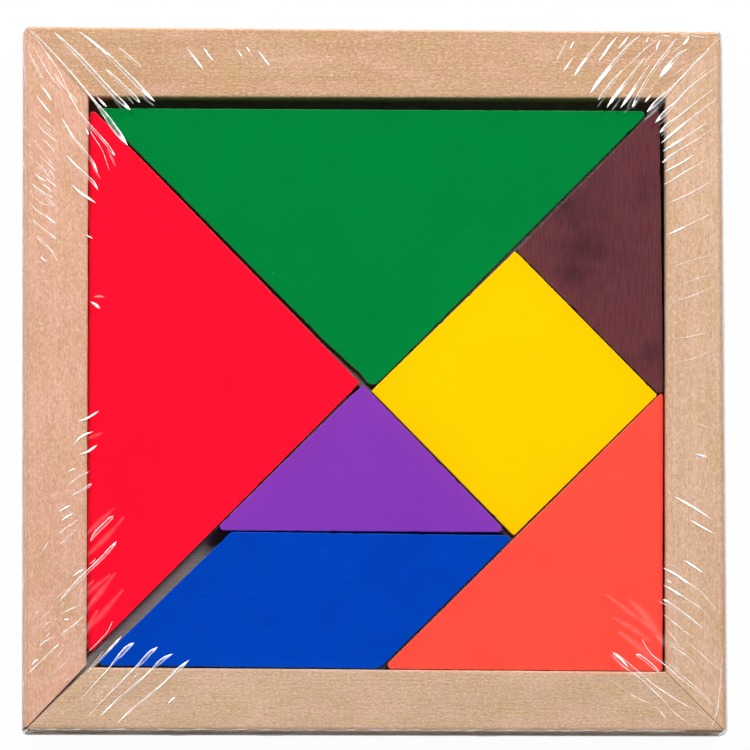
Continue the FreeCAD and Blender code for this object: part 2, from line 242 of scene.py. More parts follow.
def loft(rings, count):
    """Faces between rings of so many vertices each, one ring after another, and two end caps."""
    faces = [(ring * count + k, ring * count + (k + 1) % count,
              (ring + 1) * count + (k + 1) % count, (ring + 1) * count + k)
             for ring in range(rings - 1) for k in range(count)]
    faces.append(tuple(range(count - 1, -1, -1)))
    faces.append(tuple((rings - 1) * count + k for k in range(count)))
    return faces


def store_places(mesh, name, places):
    """Keep a place for every vertex, for the grain to follow."""
    attribute = mesh.attributes.new(name, "FLOAT_VECTOR", "POINT")
    attribute.data.foreach_set("vector", [part for place in places for part in place])


def store_values(mesh, name, values):
    """Keep a number for every vertex."""
    attribute = mesh.attributes.new(name, "FLOAT", "POINT")
    attribute.data.foreach_set("value", values)


def make_rail_material(name, pale, mid, dark, seed):
    """Bare softwood: the grain follows the rail, its own shade sets the rail apart, and painted
    shade darkens its foot.
    """
    material, tree, output = new_material(name)
    grown = stored(tree, "grain")
    place = put(tree, "VectorMath",
                {0: grown, 1: (seed * 171.0, seed * 53.0, seed * 29.0)}, operation="ADD").outputs[0]
    grain = put(tree, "Group", {"Place": place}, node_tree=timber).outputs
    tone = blend(tree, grain["Clouds"], pale, mid)
    patches = speckle(tree, place, (11, 3.6, 3.6), 3.0)
    tone = blend(tree, ramp(tree, patches, 0.45, 0.70, 0.0, 0.55), tone, (0.60, 0.42, 0.21))
    tone = blend(tree, ramp(tree, patches, 0.50, 0.28, 0.0, 0.45), tone, (0.76, 0.51, 0.41))
    tone = tint(tree, tone, grain["Bands"], 0.32, dark)
    tone = tint(tree, tone, grain["Fibres"], 0.22, dark)
    tone = blend(tree, ramp(tree, grain["Fuzz"], 0.5, 1.0, 0.0, 0.95), tone, dark)
    tone = blend(tree, ramp(tree, grain["Fuzz"], 0.5, 0.0, 0.0, 0.85), tone, (0.84, 0.63, 0.49))
    tone = tint(tree, tone, grain["Pores"], 0.50, (0.36, 0.18, 0.09))
    tone = tint(tree, tone, grain["Sparks"], 0.75, (0.92, 0.74, 0.60))
    # Darker on the outer side and its arris; low down, painted contact shade where the rail stands
    # on the floor.
    _, inward, height = put(tree, "SeparateXYZ", {0: grown}).outputs
    outer_dark_and_foot_shade = calc(tree, "MAXIMUM", ramp(tree, inward, 1.3, 0.2, 0.0, 0.34),
                   ramp(tree, height, 3.0, 0.4, 0.0, 0.60))
    tone = blend(tree, outer_dark_and_foot_shade, tone, (0.30, 0.15, 0.08))
    relief = calc(tree, "ADD", grain["Fibres"], grain["Fuzz"])
    add_matte(tree, output, tone, relief, roughness=0.62, specular=0.3, strength=0.4, depth=0.05)
    return material


def make_rail(label, corner, heading, length, widths, next_widths, gaps, material):
    """Loft the section from one mitre to the other, its arrises wavering a little."""
    steps = 90
    along = Vector((math.cos(heading), math.sin(heading), 0))
    inward = Vector((math.sin(heading), -math.cos(heading), 0))
    middle_width = sum(widths) / 2
    section = rail_section(middle_width)
    vertices, places = [], []
    for step in range(steps + 1):
        share = step / steps
        width = widths[0] + (widths[1] - widths[0]) * share
        for across, height in section:
            across *= width / middle_width
            start = mitre(across, widths[0], next_widths[0], *gaps[0])
            end = length - mitre(across, widths[1], next_widths[1], *gaps[1])
            run = start + (end - start) * share
            waver = noise.noise(Vector((run * 0.35, across * 0.3, heading + height * 0.2)))
            dip = 0.05 * waver if 0 < step < steps else 0.0
            if across > width * 0.5:
                dip = -dip
            spot = Vector(corner) + along * run + inward * (across + dip)
            vertices.append((spot.x, spot.y, TRAY_FLOOR + height))
            places.append((run, across, height))
    faces = loft(steps + 1, len(section))
    rail = new_piece(f"{label}_timber", vertices, faces, material)
    store_places(rail.data, "grain", places)
    rail.data.set_sharp_from_angle(angle=math.radians(40))
    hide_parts(label)


HALF_X, HALF_Y = TRAY_ACROSS / 2, TRAY_ALONG / 2
GLUED, HAIRLINE, OPEN = (0.04, 0.04), (0.08, 0.08), (0.15, 0.55)

# Each: its side, outer corner, heading and length, its widths at both ends, the gap of the mitre
# at its far end outside and inside, and its shades. They follow one another round the tray
RAILS = [
    ("top", (-HALF_X, HALF_Y, 0), 0.0, TRAY_ACROSS, (15.2, 14.6), GLUED,
     ((0.64, 0.41, 0.265), (0.58, 0.35, 0.205), (0.45, 0.26, 0.145))),
    ("right", (HALF_X, HALF_Y, 0), -math.pi / 2, TRAY_ALONG, (12.0, 12.8), HAIRLINE,
     ((0.73, 0.52, 0.38), (0.67, 0.45, 0.31), (0.52, 0.32, 0.20))),
    ("bottom", (HALF_X, -HALF_Y, 0), math.pi, TRAY_ACROSS, (12.9, 13.5), OPEN,
     ((0.71, 0.50, 0.36), (0.63, 0.43, 0.30), (0.48, 0.31, 0.20))),
    ("left", (-HALF_X, -HALF_Y, 0), math.pi / 2, TRAY_ALONG, (13.3, 13.7), GLUED,
     ((0.77, 0.455, 0.335), (0.70, 0.41, 0.29), (0.56, 0.305, 0.205))),
]

for number, (side, corner, heading, length, widths, gap, shades) in enumerate(RAILS):
    before, after = RAILS[number - 1], RAILS[(number + 1) % 4]
    make_rail("rail_" + side, corner, heading, length, widths, (before[4][1], after[4][0]),
              (before[5], gap), make_rail_material("timber_" + side, *shades, number + 1))


# Tans. Sawn from sheet wood, their corners and arrises sanded by hand, then sprayed with
# satin paint that has worn thin on the arrises. Each lies loose on the board.

TAN_TOP = 8.31
TAN_FLOOR = 3.31
EASED, SAME_SPOT = 0.28, 0.03


def outline_of(label):
    """The plan of a tan's upright sides in millimetres, read off its solid, in order round."""
    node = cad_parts[label]
    low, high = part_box(label)
    spots = {}
    for vertex in node.data.vertices:
        spot = node.matrix_world @ vertex.co
        if low[2] + EASED * MM < spot.z < high[2] - EASED * MM:
            spots[round(spot.x / MM, 3), round(spot.y / MM, 3)] = Vector((spot.x, spot.y)) / MM
    middle = sum(spots.values(), Vector((0, 0))) / len(spots)
    around = sorted(spots.values(), key=lambda p: math.atan2(p.y - middle.y, p.x - middle.x))
    return [spot for number, spot in enumerate(around)
            if (spot - around[number - 1]).length > SAME_SPOT]


def resample(outline, pitch):
    """The outline with no side longer than the pitch, and the outward direction at each point."""
    points = []
    for start, end in zip(outline, outline[1:] + outline[:1]):
        pieces = max(1, round((end - start).length / pitch))
        points += [start.lerp(end, piece / pieces) for piece in range(pieces)]
    outward = []
    for number, point in enumerate(points):
        run = (points[(number + 1) % len(points)] - points[number - 1]).normalized()
        outward.append(Vector((run.y, -run.x)))
    return points, outward


def make_wear_group():
    """Handling marks on paint: worn arrises, a few pale nicks and a faint unevenness."""
    group, given, out = new_group(
        "paint_wear", [("Place", "NodeSocketVector"), ("Edge", "NodeSocketFloat")],
        ["Wear", "Specks", "Clouds"])
    place = given["Place"]
    patches = speckle(group, place, (1, 1, 1), 3.0, scale=0.55)
    wear = calc(group, "MULTIPLY", ramp(group, given["Edge"], 0.35, 0.95),
                ramp(group, patches, 0.38, 0.62, 0.25, 1.0))
    dots = put(group, "TexVoronoi", {"Vector": place, "Scale": 0.16})
    chosen = put(group, "TexWhiteNoise", {"Vector": dots.outputs["Position"]})
    size = calc(group, "MULTIPLY", chosen.outputs[0], 0.04)
    near = calc(group, "LESS_THAN", dots.outputs["Distance"], calc(group, "SUBTRACT", size, 0.018))
    clouds = speckle(group, place, (12, 12, 12), 4.0)
    for name, made in (("Wear", wear), ("Specks", near), ("Clouds", clouds)):
        group.links.new(made, out[name])
    return group


paint_wear = make_wear_group()


def make_paint(name, colour, deep, worn, grain_angle, grain_depth, wear, seed, mottle=0.30):
    """Satin paint or stain over wood: deeper in the grain, worn pale on the arris, painted shade
    low down.
    """
    material, tree, output = new_material(name)
    place = stored(tree, "place")
    marks = put(tree, "Group", {"Place": place, "Edge": stored(tree, "edge", "Fac")},
                node_tree=paint_wear).outputs
    turned = put(tree, "Mapping",
                 {"Vector": place, "Rotation": (0, 0, math.radians(-grain_angle)),
                  "Location": (seed * 31.0, seed * 17.0, 0)})
    grain = put(tree, "Group", {"Place": turned.outputs[0]}, node_tree=timber).outputs
    tone = tint(tree, colour, grain["Fibres"], grain_depth, deep)
    tone = blend(tree, ramp(tree, marks["Clouds"], 0.42, 0.70, 0.0, mottle), tone, deep)
    tone = tint(tree, tone, marks["Wear"], wear, worn)
    tone = tint(tree, tone, marks["Specks"], 0.6, worn)
    # Painted shade: the sides darken towards the board, as they are deep in the gaps between the
    # tans.
    height = put(tree, "SeparateXYZ", {0: place}).outputs[2]
    tone = blend(tree, ramp(tree, height, TAN_TOP - 0.3, TAN_TOP - 1.8, 0.0, 0.85), tone,
                 (0.15, 0.09, 0.06))
    add_matte(tree, output, tone, grain["Fibres"], roughness=0.5, specular=0.03,
              strength=0.25, depth=0.03)
    return material


# How far in from the side, and how far under the top, each ring of a sanded arris lies
ARRIS_RINGS = [(0.0, 0.17), (0.02, 0.09), (0.06, 0.035), (0.11, 0.01), (0.17, 0.0)]
BELT_INSET = 0.30


def wear_back(point, dents):
    """How far a tan's side is worn back here; a dent is its middle, its reach and its depth."""
    return sum(depth * math.exp(-((point - Vector(middle)).length / reach) ** 2)
               for middle, reach, depth in dents)


def make_tan(label, material, waver, dents=()):
    """Stand the outline up, waver its sides a little, round both arrises and cap it flat."""
    points, outward = resample(outline_of(label), 0.7)
    seed = sum(map(ord, label)) * 0.37
    rings = [(inset, TAN_FLOOR + under, 0.0) for inset, under in reversed(ARRIS_RINGS)]
    rings += [(inset, TAN_TOP - under, 1.0 if inset < 0.1 else 0.45)
              for inset, under in ARRIS_RINGS]
    rings.append((BELT_INSET, TAN_TOP, 0.0))
    vertices, edge = [], []
    for inset, height, share in rings:
        for point, out in zip(points, outward):
            spot = Vector((point.x * 0.5, point.y * 0.5, seed))
            drift = waver * (0.7 * noise.noise(spot * 0.5) + 0.3 * noise.noise(spot * 2.2))
            nick = max(0.0, noise.noise(spot * 1.7 + Vector((9, 4, 2))) - 0.42) * 0.9
            worn_back = inset + (nick if share > 0.9 else 0.0) + abs(drift) * 0.5
            worn_back += wear_back(point, dents)
            x, y = point - out * worn_back
            sunk = nick * 0.5 if share > 0.9 else 0.0
            vertices.append((x, y, height - sunk))
            edge.append(share)
    faces = loft(len(rings), len(points))
    tan = new_piece(label + "_painted", vertices, faces, material)
    store_places(tan.data, "place", vertices)
    store_values(tan.data, "edge", edge)
    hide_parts(label)


make_tan("large_triangle_green",
         make_paint("paint_green", (0.0, 0.234, 0.046), (0.0, 0.205, 0.040),
                    (0.16, 0.34, 0.16), 0, 0.12, 0.5, 1), 0.10,
         dents=[((-3.8, 0.5), 3.0, 0.55), ((-7.5, 4.3), 3.0, 0.25)])
make_tan("large_triangle_red",
         make_paint("paint_red", (0.98, 0.007, 0.032), (0.90, 0.005, 0.026),
                    (1.0, 0.16, 0.17), 90, 0.15, 0.55, 2), 0.08)
make_tan("medium_triangle_orange",
         make_paint("paint_orange", (0.98, 0.088, 0.060), (0.94, 0.070, 0.045),
                    (1.0, 0.33, 0.20), 45, 0.12, 0.5, 3), 0.10)
make_tan("square_yellow",
         make_paint("paint_yellow", (0.99, 0.61, 0.0), (0.96, 0.56, 0.0),
                    (1.0, 0.80, 0.15), 45, 0.10, 0.6, 4), 0.10)
make_tan("parallelogram_blue",
         make_paint("paint_blue", (0.0, 0.065, 0.53), (0.0, 0.046, 0.40),
                    (0.05, 0.20, 0.68), 0, 0.45, 0.45, 5), 0.16)
make_tan("small_triangle_purple",
         make_paint("paint_purple", (0.245, 0.047, 0.48), (0.215, 0.038, 0.42),
                    (0.42, 0.19, 0.62), 0, 0.12, 0.5, 6), 0.10,
         dents=[((-2.8, -2.4), 1.0, 0.25)])
make_tan("small_triangle_maroon",
         make_paint("stain_maroon", (0.162, 0.046, 0.055), (0.058, 0.020, 0.027),
                    (0.34, 0.24, 0.23), 90, 0.42, 0.6, 7, mottle=0.75), 0.10)


# Shrink film. One clear skin, welded round the side and shrunk tight over the rims, so the
# top is gathered into fine creases that fan out from each corner, where it had most to lose.

FILM_LEFT, FILM_RIGHT = -74.80, 75.14
FILM_LOW, FILM_HIGH = -75.56, 75.53
FILM_HEIGHT = 10.02
FILM_CORNER = 1.0
SEAL_REACH = 0.2


def film_wave(x, y):
    """How far the film's top lies above its level: slack folds that fade from the corners."""
    reach_x, reach_y = HALF_X - abs(x), HALF_Y - abs(y)
    from_corner = math.hypot(reach_x, reach_y)
    bearing = math.atan2(reach_y, reach_x)
    fold = math.sin(bearing * 26 + 1.7 * math.copysign(1, x) + 0.9 * math.copysign(1, y))
    fade = math.exp(-((from_corner - 14) / 13) ** 2)
    calm = noise.noise(Vector((x * 0.05, y * 0.05, 3.1)))
    edge = min(1.0, min(reach_x, reach_y) / 2.0) if min(reach_x, reach_y) > 0 else 0.0
    return edge * (0.05 * fold * fade + 0.04 * calm)


def film_outline(inset, pitch=1.2):
    """The film's rounded rectangle at a distance in from its side, as evenly spread points."""
    radius = max(FILM_CORNER - inset, 0.05)
    left, right = FILM_LEFT + inset + radius, FILM_RIGHT - inset - radius
    low, high = FILM_LOW + inset + radius, FILM_HIGH - inset - radius
    corners = [arc((right, high), radius, 0, 90, 4), arc((left, high), radius, 90, 180, 4),
               arc((left, low), radius, 180, 270, 4), arc((right, low), radius, 270, 360, 4)]
    points = []
    sides = (round(TRAY_ACROSS / pitch), round(TRAY_ALONG / pitch))
    for number, turn in enumerate(corners):
        following = corners[(number + 1) % 4][0]
        points += turn
        steps = sides[number % 2]
        for step in range(1, steps):
            share = step / steps
            points.append((turn[-1][0] + (following[0] - turn[-1][0]) * share,
                           turn[-1][1] + (following[1] - turn[-1][1]) * share))
    return points


def make_film_material():
    """Clear film: seen straight through, with a gloss that grows towards grazing angles."""
    material, tree, output = new_material("film_clear")
    gloss = put(tree, "BsdfGlossy", {"Color": (1, 1, 1), "Roughness": 0.06})
    through = put(tree, "BsdfTransparent", {"Color": (0.995, 0.995, 0.995)})
    fresnel = put(tree, "Fresnel", {"IOR": 1.5})
    share = calc(tree, "MINIMUM", fresnel.outputs[0], 0.5)
    mixed = put(tree, "MixShader",
                {0: share, 1: through.outputs[0], 2: gloss.outputs[0]})
    tree.links.new(mixed.outputs[0], output.inputs[0])
    return material


def make_film():
    """Rings of the film's outline from the middle of the underside round to the top."""
    rings = [(60.0, 0.0), (30.0, 0.0), (8.0, 0.0), (1.5, 0.0), (0.5, 0.0), (0.15, 0.15), (0.0, 0.5)]
    rings += [(0.0, 2.6), (0.0, 4.6), (-0.02, 4.75), (-SEAL_REACH, 4.85), (-SEAL_REACH, 5.15),
              (-0.02, 5.25), (0.0, 5.4), (0.0, 7.5), (0.0, 9.5), (0.06, 9.75), (0.2, 9.93)]
    rings += [(inset, FILM_HEIGHT) for inset in (0.5, 1.2, 2, 3, 4, 5, 6, 7.2, 8.4, 9.6, 11, 12.5,
                                                 14, 16, 18, 20.5, 23, 26, 30, 35, 41, 48, 56, 65)]
    vertices = []
    for inset, height in rings:
        for x, y in film_outline(inset):
            lift = film_wave(x, y) if height == FILM_HEIGHT else 0.0
            pull = 0.06 * noise.noise(Vector((x * 0.2, y * 0.2, height * 0.3)))
            if inset < 0.5 and 0.5 < height < 9.6:
                away = Vector((x / HALF_X, y / HALF_Y))
                x += pull * round(away.x)
                y += pull * round(away.y)
            vertices.append((x, y, height + lift))
    faces = loft(len(rings), len(film_outline(0.0)))
    film = new_piece("film_skin", vertices, faces, make_film_material())
    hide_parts("shrink_film")


make_film()


# Creases of the film. Where it is gathered it stands up in a low ridge, with painted highlights
# in white along both flanks. Most open into an eye at the inner end; some flanks run together.

# Each: its kind, its width, and x, y, x, y and so on from its outer end
CREASES = [
    # top left
    ("eye", 1.3, -74, 74.8, -71.4, 72.5, -68.4, 69.5, -64.3, 64.9, -61.1, 61, -57.8, 56.8, -55.7,
     53.8, -52.7, 49.9),
    ("line", 0.26, -73, 74.5, -70.8, 72.2, -68.3, 69.5),
    ("loop", 1.05, -68.4, 74.2, -66.6, 72.4, -63, 68.8, -59.8, 65.3, -57.1, 62.3, -54.6, 59.8,
     -52.1, 57.5),
    ("split", 1, -63.1, 74.4, -60.1, 72.1, -57.1, 69.5, -54.2, 66.6, -51.7, 64.1, -49.3, 61.6,
     -46.9, 59.4),
    ("loop", 0.75, -57.4, 66.3, -55.4, 64.4, -53.7, 62.8, -51.7, 60.9, -50.1, 59.1),
    ("loop", 0.65, -54.7, 71.1, -52.5, 69, -49.8, 66.7),
    ("solid", 0.5, -59.4, 60.5, -58.4, 59.4, -57.2, 58.2),
    ("line", 0.36, -73.8, 74.5, -71.6, 71.9, -69.4, 68.7, -67.4, 65.8, -66.1, 63, -65.7, 61.8),
    ("line", 0.28, -73.6, 72.2, -71.4, 68.5, -69.7, 65.5, -67.7, 62.8, -67.1, 62.2),
    ("faint", 1, -68.4, 65.3, -67.2, 63.4, -65.9, 61.8),
    ("line", 0.42, -66, 62.8, -65.2, 60.8, -63.5, 57.7, -62.8, 56.6),
    ("loop", 0.6, -63.3, 57.4, -61.1, 54.5, -58.6, 51.7, -56.9, 49.7, -55.4, 47.6),
    ("line", 0.24, -61.7, 54.9, -60.1, 51.9, -58.1, 48.7, -56.7, 44.6),
    ("line", 0.22, -65.7, 61.8, -64, 59.8, -63.4, 59),
    ("loop", 0.5, -73.8, 69.8, -72.6, 67.2, -71.7, 65.5, -70.9, 64.2),
    ("solid", 0.42, -71.2, 62.7, -70, 61, -69, 59.5),
    ("solid", 0.4, -72.3, 60.6, -70.9, 58.7, -69.2, 56.7),
    ("line", 0.3, -72.1, 57.1, -70.9, 55.7, -69.3, 54),
    ("line", 0.36, -72.1, 54.6, -70.9, 53, -69.4, 51.7, -67.9, 50.5),
    ("line", 0.3, -71.6, 51.4, -70.1, 50.4, -68.5, 48.5),
    ("line", 0.3, -71.3, 47.4, -69.6, 45.7, -67.9, 44.2),
    ("line", 0.28, -71.7, 45.8, -70.5, 44.4, -69.4, 42.7),
    ("line", 0.32, -69.8, 44.9, -68.7, 43.5, -68.2, 42.4),
    ("solid", 0.36, -72.6, 43.9, -71.6, 42.8, -70.2, 42.1),
    ("line", 0.3, -70.7, 43.4, -69.4, 42, -68, 40.8),
    ("split", 0.6, -67, 55.9, -65.7, 53.9, -64.3, 51.4, -62.5, 49.2, -61.1, 47.5, -60, 45.9, -59.1,
     43.9),
    ("split", 0.7, -65.8, 47.7, -64, 45.7, -62.4, 44.1, -61.1, 42.9, -60, 41.8, -59.1, 40.3),
    ("solid", 0.4, -61.7, 53.5, -61.4, 52.8, -61, 52.1),
    ("line", 0.25, -75.1, 70.7, -74.9, 67.2, -74.5, 63.2),
    ("line", 0.22, -75, 54.3, -74.3, 53.4, -73.8, 52.9),
    ("line", 0.22, -75.1, 46.1, -74.8, 45.4, -74.3, 44.6),
    ("solid", 0.5, -40.1, 71, -38.2, 68.6, -36.4, 66.2),
    ("solid", 0.5, -36.5, 71.2, -35.6, 69.8, -34.4, 68.3),
    ("solid", 0.4, -29.5, 71, -28.2, 69.2),
    ("solid", 0.32, -27.4, 71.5, -26.5, 70.2),
    ("solid", 0.39, -24.8, 70.6, -22.3, 67.2),
    # left
    ("solid", 0.6, -64.7, 41.4, -62.7, 39.5, -61.1, 38.5, -59.6, 37.5),
    ("loop", 0.6, -73.2, 41.6, -71.9, 40.2, -70.2, 39.1, -68.8, 38.4),
    ("line", 0.3, -71.4, 41.5, -70.2, 40.9, -69.3, 40),
    ("line", 0.34, -69.5, 42.1, -68.6, 41.4, -67.9, 41),
    ("line", 0.25, -73.4, 39, -72.3, 38.4, -71.5, 37.6, -70.2, 37, -68.9, 36.6),
    ("line", 0.28, -73.4, 37.4, -72.5, 36.1, -71.3, 35.1, -70.3, 34.6),
    ("solid", 0.42, -70.4, 34.7, -69.2, 33.8, -68.2, 33),
    ("loop", 0.5, -73, 33.8, -71.7, 32.4, -70, 31.1, -68.1, 29.6),
    ("loop", 0.5, -72.2, 29.9, -70.8, 28.6, -69.6, 27.6, -68.6, 26.8),
    ("solid", 0.35, -71.3, 25.8, -70.7, 25.2, -70.2, 24.7),
    ("solid", 0.3, -61.9, 30.7, -61.1, 30.3, -60.2, 29.8),
    ("solid", 0.75, -60.6, 16.2, -59.6, 15.6, -58.7, 14.8),
    ("faint", 0.6, -60, 17.2, -58.8, 17.4, -57.7, 17.2),
    ("solid", 0.5, -63.4, -9.5, -61.4, -8.8, -58.9, -7.2),
    ("solid", 0.5, -64.5, -14.8, -63.2, -13.2, -61.9, -12.3, -60.1, -11.6),
    ("solid", 0.55, -63.1, -16.6, -61.2, -15.9, -59.3, -14.5),
    ("solid", 0.3, -65.5, -20.5, -64.6, -19.8, -63.8, -19.5),
    ("loop", 0.42, -65.5, -23.2, -63.5, -21.7, -61, -20.2),
    ("loop", 0.6, -64.6, -25.3, -62.8, -24.5, -61.4, -23.6, -60.4, -22.7),
    ("solid", 0.42, -67.4, -28.9, -66.2, -28.1, -64.9, -27.4),
    ("solid", 0.42, -66.9, -30.8, -65.7, -29.9, -64.3, -29.1),
    ("loop", 0.36, -67.4, -33.6, -65.8, -32.3, -64.2, -31.3, -63.2, -30.2),
    ("loop", 0.42, -67, -35.7, -65.3, -34.3, -63.4, -32.4),
    ("line", 0.28, -71.4, -38.1, -70.3, -36.4, -69.5, -35.1),
    ("loop", 0.95, -60.7, -35.1, -59.6, -33.4, -57.8, -31.6, -55.8, -29.6),
    # bottom left
    ("loop", 0.75, -67.3, -48, -64, -44.3, -60.9, -41.2, -58, -38.4, -55.1, -35.1),
    ("line", 0.3, -60.9, -39.9, -60.1, -39.4, -59.6, -38.8),
    ("spear", 0.62, -61.3, -63.1, -59.8, -61.5, -58.1, -59.8, -56.4, -57.9, -55.2, -56.6, -54,
     -55.2),
    ("line", 0.2, -61.2, -62.4, -59.6, -60.6, -57.8, -58.3),
    ("eye", 1, -63, -69.1, -60.1, -65.8, -57.6, -63.1, -55.7, -60.8, -54.2, -59.2, -52.8, -57.7,
     -51.4, -56.7),
    ("eye", 0.9, -61.5, -72.8, -58.6, -69.5, -55, -65.9, -52.3, -63.1, -49.8, -60.8, -48.1, -58.9,
     -46.4, -57.6),
    ("pair", 0.9, -58.5, -72.2, -54.7, -68.7, -51.3, -65.8, -48.6, -63.3, -46.4, -61.2, -44.8,
     -59.9, -43.2, -59),
    ("pair", 0.85, -55, -73.9, -52.3, -71.3, -49.4, -69, -46.4, -66.4, -43.7, -63.9, -41.6, -62,
     -39.7, -60.3),
    ("solid", 0.35, -44.3, -69.8, -43.5, -68.9, -42.6, -68.2),
    ("line", 0.25, -51.7, -64.5, -51.1, -63.8, -50.5, -63.2),
    ("line", 0.3, -61.3, -58.8, -58.9, -56.4, -57.1, -54.4, -56, -52.2),
    ("solid", 0.42, -64.4, -42.6, -63.2, -41.7, -62.2, -41.1),
    ("line", 0.38, -67.1, -50.8, -65.2, -49.7, -63.1, -48.9),
    ("solid", 0.4, -66.3, -52, -65.8, -51.8, -65.3, -51.8),
    ("line", 0.36, -66.6, -54.6, -64.9, -53.5, -63.5, -52.4, -62, -51),
    ("loop", 0.6, -71.4, -57.5, -70.2, -56.6, -68.3, -55.6),
    ("split", 0.45, -74, -63.5, -72.2, -61.7, -70.3, -60, -67.4, -57),
    ("solid", 0.45, -73.1, -61.6, -72.5, -60.8, -71.8, -60.3),
    ("line", 0.22, -70.7, -53.5, -69.7, -52.6, -69.1, -52.2),
    ("line", 0.22, -70.7, -56.4, -69.8, -55.2, -69, -54.5),
    ("haze", 2, -62, -54.7, -58.1, -50.5, -53.7, -45.3),
    ("haze", 2, -62, -50.5, -58.9, -46.4, -55.4, -41.8),
    ("haze", 2.2, -74.2, -53, -70.8, -48.6, -65.4, -42.2),
    ("haze", 2.6, -70.5, -66, -65.9, -60.8, -61.3, -56.2),
    ("haze", 1.8, -61.9, -34, -58.6, -30.8, -55.6, -27.9),
    ("haze", 1.8, -61.9, -38.7, -57.2, -34.1, -53.6, -29.9),
    ("haze", 1.3, -61.2, -13.1, -59.8, -12.6, -58.1, -11.8),
    # bottom right
    ("solid", 0.54, 71.9, -29.8, 68.2, -27.4, 64, -25),
    ("solid", 0.43, 72.5, -32.9, 69.8, -31.5, 67.3, -30),
    ("solid", 0.5, 70.1, -41.4, 68.1, -40, 66, -38.7),
    ("spear", 0.6, 73.5, -50.2, 71.5, -47.7, 69, -45.1, 66.6, -43.5, 63.9, -41.6, 61.5, -40.3),
    ("spear", 0.5, 70.3, -49.5, 66.6, -47.1, 63.6, -45.2, 61.4, -43.9),
    ("loop", 0.65, 69.7, -53.1, 66.8, -50.9, 63.8, -48.7, 61.4, -47),
    ("line", 0.34, 67.2, -55, 65, -53.1, 63.1, -51.5, 61.3, -50.1),
    ("line", 0.25, 64.9, -57.3, 63.6, -55.2, 62, -53.3),
    ("line", 0.3, 68.4, -61, 66, -58.8, 63, -57),
    ("solid", 0.25, 62.2, -42.8, 62.7, -43.2, 63.3, -43.6),
    ("line", 0.32, 72.9, -70.5, 68.6, -66.7, 65, -63.9, 61.3, -60.7, 59.1, -59, 57.6, -57, 57,
     -55.8, 57.2, -55.6),
    ("line", 0.24, 72.6, -69.9, 68.6, -66.1, 65, -63, 61.7, -60.2),
    ("line", 0.34, 72.3, -73.3, 68.6, -71, 64.9, -69, 61.5, -66.8, 58.8, -64.9, 54.9, -61.5, 52.7,
     -59.7, 51.2, -58.5),
    ("line", 0.3, 69.4, -74.3, 67.3, -73.6, 65.4, -72.7, 63.4, -71, 61.5, -68.8, 59.3, -66.7, 57.1,
     -64.6, 55.1, -63, 53.2, -61.7, 51.6, -60.3, 50.6, -58.8),
    ("solid", 0.5, 53.9, -61.6, 52.5, -60, 50.6, -58.4),
    ("loop", 0.8, 60.6, -62.8, 58.8, -61.1, 57.1, -59.7, 55.5, -58.8),
    ("haze", 3.1, 61.6, -56.4, 58.9, -52.6, 56.5, -49.4, 54.1, -47),
    ("haze", 2.6, 61.5, -60.7, 58.6, -59.2, 55.2, -56.5, 51.9, -54),
    ("haze", 2.2, 56.4, -62.7, 52.7, -61, 49.9, -58.9),
    ("line", 0.3, 59, -69.6, 56.1, -68.3, 53.9, -67.1),
    ("faint", 0.4, 53.9, -67.1, 51.9, -65.6, 50.1, -64.3),
    ("line", 0.25, 62.7, -73.9, 61.2, -71.6, 59.7, -70),
    ("faint", 0.5, 74.8, -62.9, 71.9, -60.9, 68.7, -58, 66, -55.8),
    # top right
    ("loop", 0.5, 41.5, 73.3, 40.8, 71.5, 39.5, 69.2),
    ("solid", 0.36, 43.2, 73.1, 42.7, 72.3, 42.2, 71.5),
    ("solid", 0.42, 43, 69.8, 41.9, 68.1, 40.8, 66.6),
    ("spear", 0.8, 49.7, 74.5, 47.9, 72.1, 45.9, 69.6, 44.4, 67.6, 43, 65.4),
    ("solid", 0.6, 52.6, 74.4, 50.9, 72.4, 49.7, 70.6, 48.4, 68.9),
    ("solid", 0.4, 54.9, 74.5, 53.9, 73, 52.6, 71.6),
    ("spear", 1, 57.4, 74.5, 54.9, 72.3, 52.4, 69.4, 49.9, 66.4, 48.1, 64.1, 46.4, 61.7),
    ("solid", 0.3, 59.2, 74.2, 58.9, 73.5, 58.7, 73),
    ("solid", 0.5, 61.7, 73.4, 61.1, 72.4, 60.9, 71.3),
    ("line", 0.3, 61.9, 74.4, 58.8, 71.9, 56.1, 69.3, 53.3, 66.7),
    ("loop", 0.7, 53.5, 66.9, 51.6, 64.7, 50.1, 62.8, 48.2, 60.4),
    ("spear", 0.9, 58.4, 69.8, 56.1, 66.7, 53.8, 63.7, 51.8, 61.2, 50.1, 58.8),
    ("spear", 0.85, 59.3, 68.1, 57.8, 65.7, 56, 62.9, 54.5, 60.7, 53, 58.7),
    ("loop", 0.7, 65.1, 73.8, 61.8, 69.2, 59.5, 66, 57.3, 62.2, 55.5, 58.8),
    ("line", 0.22, 61, 71.3, 59.3, 69.7, 58.3, 68.4),
    ("solid", 0.45, 59.9, 61.9, 59.1, 61, 58.3, 60),
    ("spear", 1.3, 67.4, 71.5, 65.7, 70.4, 63.8, 68.2, 61.5, 65.4),
    ("solid", 0.6, 67.9, 74.3, 67.4, 73.4, 66.6, 72.5),
    ("eye", 1, 74.6, 74.1, 70.7, 70.3, 67.2, 66.5, 63.5, 62.5, 61.2, 60.4, 58.7, 57.9),
    ("eye", 1, 74, 67.9, 70.4, 65.3, 67.4, 62.8, 64.7, 59.8, 62.7, 57.8, 60.5, 55.6),
    ("eye", 0.8, 73.8, 63.6, 69.6, 60.3, 65.9, 57.3, 63.4, 55.3, 61.4, 53.4),
    ("spear", 0.6, 73.6, 60.7, 69.6, 57.6, 65.4, 54.3, 61.8, 51.2),
    ("spear", 0.7, 71.5, 55.6, 68.3, 53.3, 65.1, 51.3, 62.1, 49.4),
    ("eye", 0.6, 73.7, 55.1, 69.6, 52.1, 65.8, 49.8, 61.9, 46.9),
